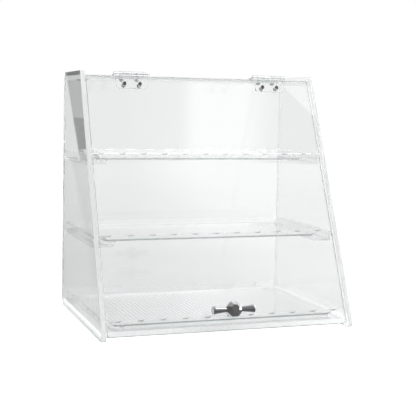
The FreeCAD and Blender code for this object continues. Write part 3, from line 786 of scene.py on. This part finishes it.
studioSky = {                               # the camera itself sees plain white
    "ambient": 0.70,                        # what lights the diffuse surfaces
    "through": 0.865,                       # the backdrop through clear plastic
    "throughRight": 0.055,                  # and more of it to the right
    "throughFront": 0.45,                   # extra light behind the camera for what the edges guide there
    "mirrorFront": 0.12,                    # what glossy surfaces find behind the camera
    "mirrorStrip": 0.30,                    # a level band of light there
    "mirrorBack": 0.40,                     # more towards the backdrop
    "mirrorAbove": 0.20,                    # and overhead
    "rightTurn": (14, 20),
    "frontY": (-0.6, -0.1),                 # Y of a direction, as backY; Z for aboveZ
    "backY": (-0.2, 0.8),
    "aboveZ": (0.3, 0.9),
    "stripRise": (4, 14, 3, 3),
}

backSoftbox = {                             # a light panel behind the case, to the right
    "turn": (18.0, 24.1, 3.0, 0.15),
    "rise": (-5.0, 7.0, 1.0, 0.15),
    "mirror": 0.75,                         # its light as glossy surfaces find it
    "through": 0.13,                        # and through clear plastic, at every rise
    "throughTurn": (19.8, 22.2, 1.4, 2.4),
}

rightSoftbox = {                            # a tall light panel to the right, found by the bright metal
    "turn": (70.0, 130.0, 3, 6),
    "rise": (-8.0, 66.0, 3, 3),
    "mirror": 1.7,
}

leftSoftbox = {                             # and one behind the case to the left, with a leaning lower edge
    "leftTurn": (23.8, 30.0, 0.4, 0.4),
    "foot": (26.3, 26.4),                   # where its lower edge would meet the level
    "top": (3, 4),
    "mirror": 0.5,
    "through": 0.55,
}

sideFlag = {                                # a dark board behind the case, to the left; its near edge leans
    "edge": 12.07,
    "lean": -0.17,                          # how far the edge moves with each degree of rise
    "soft": 0.06,
    "leftTurn": (0, 24.0, 1, 4),
    "rise": (-20, 6.0, 1, 2),
}

seenFlag = {                                # such a board where the left panel looks straight at it
    "farEdge": (12.88, 12.98),
    "farLean": 0.07,
    "above": 0.75,                          # what it leaves of the light, above its step and below
    "below": 0.38,
    "step": (-0.71, -0.61),
    "topRise": (1.82, 1.90),                # a second board over it is nearly black
    "topTurn": (9.0, 12.6, 0.5, 0.1),
    "topShade": 0.78,
}


def addSky(s, box, tall, left, flag, seen):
    world = bpy.data.worlds.new("studio")
    bpy.context.scene.world = world
    shader = Shader(world)
    direction = shader.add("ShaderNodeSeparateXYZ", {}, {
        "Vector": shader.add("ShaderNodeTexCoord").out("Generated"),
    })
    turn = shader.maths("ARCTAN2", direction.out("X"), direction.out("Y")) * math.degrees(1)
    rise = shader.maths("ARCSINE", direction.out("Z")) * math.degrees(1)
    leftTurn = 0 - turn
    front = 1 - shader.ease(direction.out("Y"), *s["frontY"])
    back = shader.ease(direction.out("Y"), *s["backY"])
    above = shader.ease(direction.out("Z"), *s["aboveZ"])

    boxLight = shader.band(turn, *box["turn"]) * shader.band(rise, *box["rise"])
    tallLight = shader.band(turn, *tall["turn"]) * shader.band(rise, *tall["rise"])
    leftLight = shader.band(leftTurn, *left["leftTurn"]) * shader.ease(rise + leftTurn, *left["foot"])
    leftLight = leftLight * (1 - shader.ease(rise, *left["top"]))

    edge = flag["edge"] + flag["lean"] * rise
    mirrorDark = shader.ease(leftTurn - edge, -flag["soft"], flag["soft"])
    mirrorDark = mirrorDark * shader.band(leftTurn, *flag["leftTurn"]) * shader.band(rise, *flag["rise"])
    seenDark = shader.ease(turn - edge, -flag["soft"], flag["soft"])
    seenDark = seenDark * (1 - shader.ease(turn + seen["farLean"] * rise, *seen["farEdge"]))
    level = seen["below"] + (seen["above"] - seen["below"]) * shader.ease(rise, *seen["step"])
    topDark = shader.ease(rise, *seen["topRise"]) * shader.band(turn, *seen["topTurn"])
    passed = (1 - (1 - level) * seenDark) * (1 - seen["topShade"] * topDark)

    through = s["through"] + s["throughRight"] * shader.ease(turn, *s["rightTurn"])
    through = (through + box["through"] * shader.band(turn, *box["throughTurn"])) * passed
    through = through + s["throughFront"] * front + left["through"] * leftLight
    mirrored = s["mirrorFront"] + s["mirrorBack"] * back + s["mirrorAbove"] * above
    mirrored = mirrored * (1 - mirrorDark) + s["mirrorStrip"] * front * shader.band(rise, *s["stripRise"])
    lights = box["mirror"] * boxLight + tall["mirror"] * tallLight + left["mirror"] * leftLight
    mirrored = mirrored + lights

    path = shader.add("ShaderNodeLightPath")
    camera, glossy = path.out("Is Camera Ray"), path.out("Is Glossy Ray")
    refracted = path.out("Is Transmission Ray")
    unseen = refracted * through + (1 - refracted) * (glossy * mirrored + (1 - glossy) * s["ambient"])
    light = shader.add("ShaderNodeBackground", {}, {
        "Color": (1, 1, 1, 1), "Strength": camera + (1 - camera) * unseen,
    })
    shader.add("ShaderNodeOutputWorld", {}, {"Surface": light})


addSky(studioSky, backSoftbox, rightSoftbox, leftSoftbox, sideFlag, seenFlag)
print("sky lit")

lamps = {
    "overhead": {
        "place": (0.4, 0.4, 2.6),           # m
        "target": (0.1, 0.3, 0),
        "size": (2.4, 2.0),
        "watts": 16,
        "mirrored": False,                  # glossy surfaces don't find it
    },
    "rightSoftbox": {
        "place": (1.9, -0.9, 1.1),
        "target": (0, 0, 0.2),
        "size": (0.8, 1.2),
        "watts": 12,
        "mirrored": True,
    },
}


def addLamp(name, lamp):
    light = bpy.data.lights.new(name, "AREA")
    light.shape = "RECTANGLE"
    light.size, light.size_y = lamp["size"]
    light.energy = lamp["watts"]
    aim = Vector(lamp["target"]) - Vector(lamp["place"])
    stand = bpy.data.objects.new(name, light)
    stand.location = lamp["place"]
    stand.rotation_euler = aim.to_track_quat("-Z", "Y").to_euler()
    stand.visible_glossy = lamp["mirrored"]
    bpy.context.collection.objects.link(stand)


for lampName, lampValues in lamps.items():
    addLamp(lampName, lampValues)
print("lamps placed:", len(lamps))

bounces = 96                                # a ray crosses many clear walls
renderScene = bpy.context.scene
renderScene.view_settings.view_transform = "Standard"
for limit in ("max_bounces", "transmission_bounces", "transparent_max_bounces", "glossy_bounces"):
    setattr(renderScene.cycles, limit, bounces)
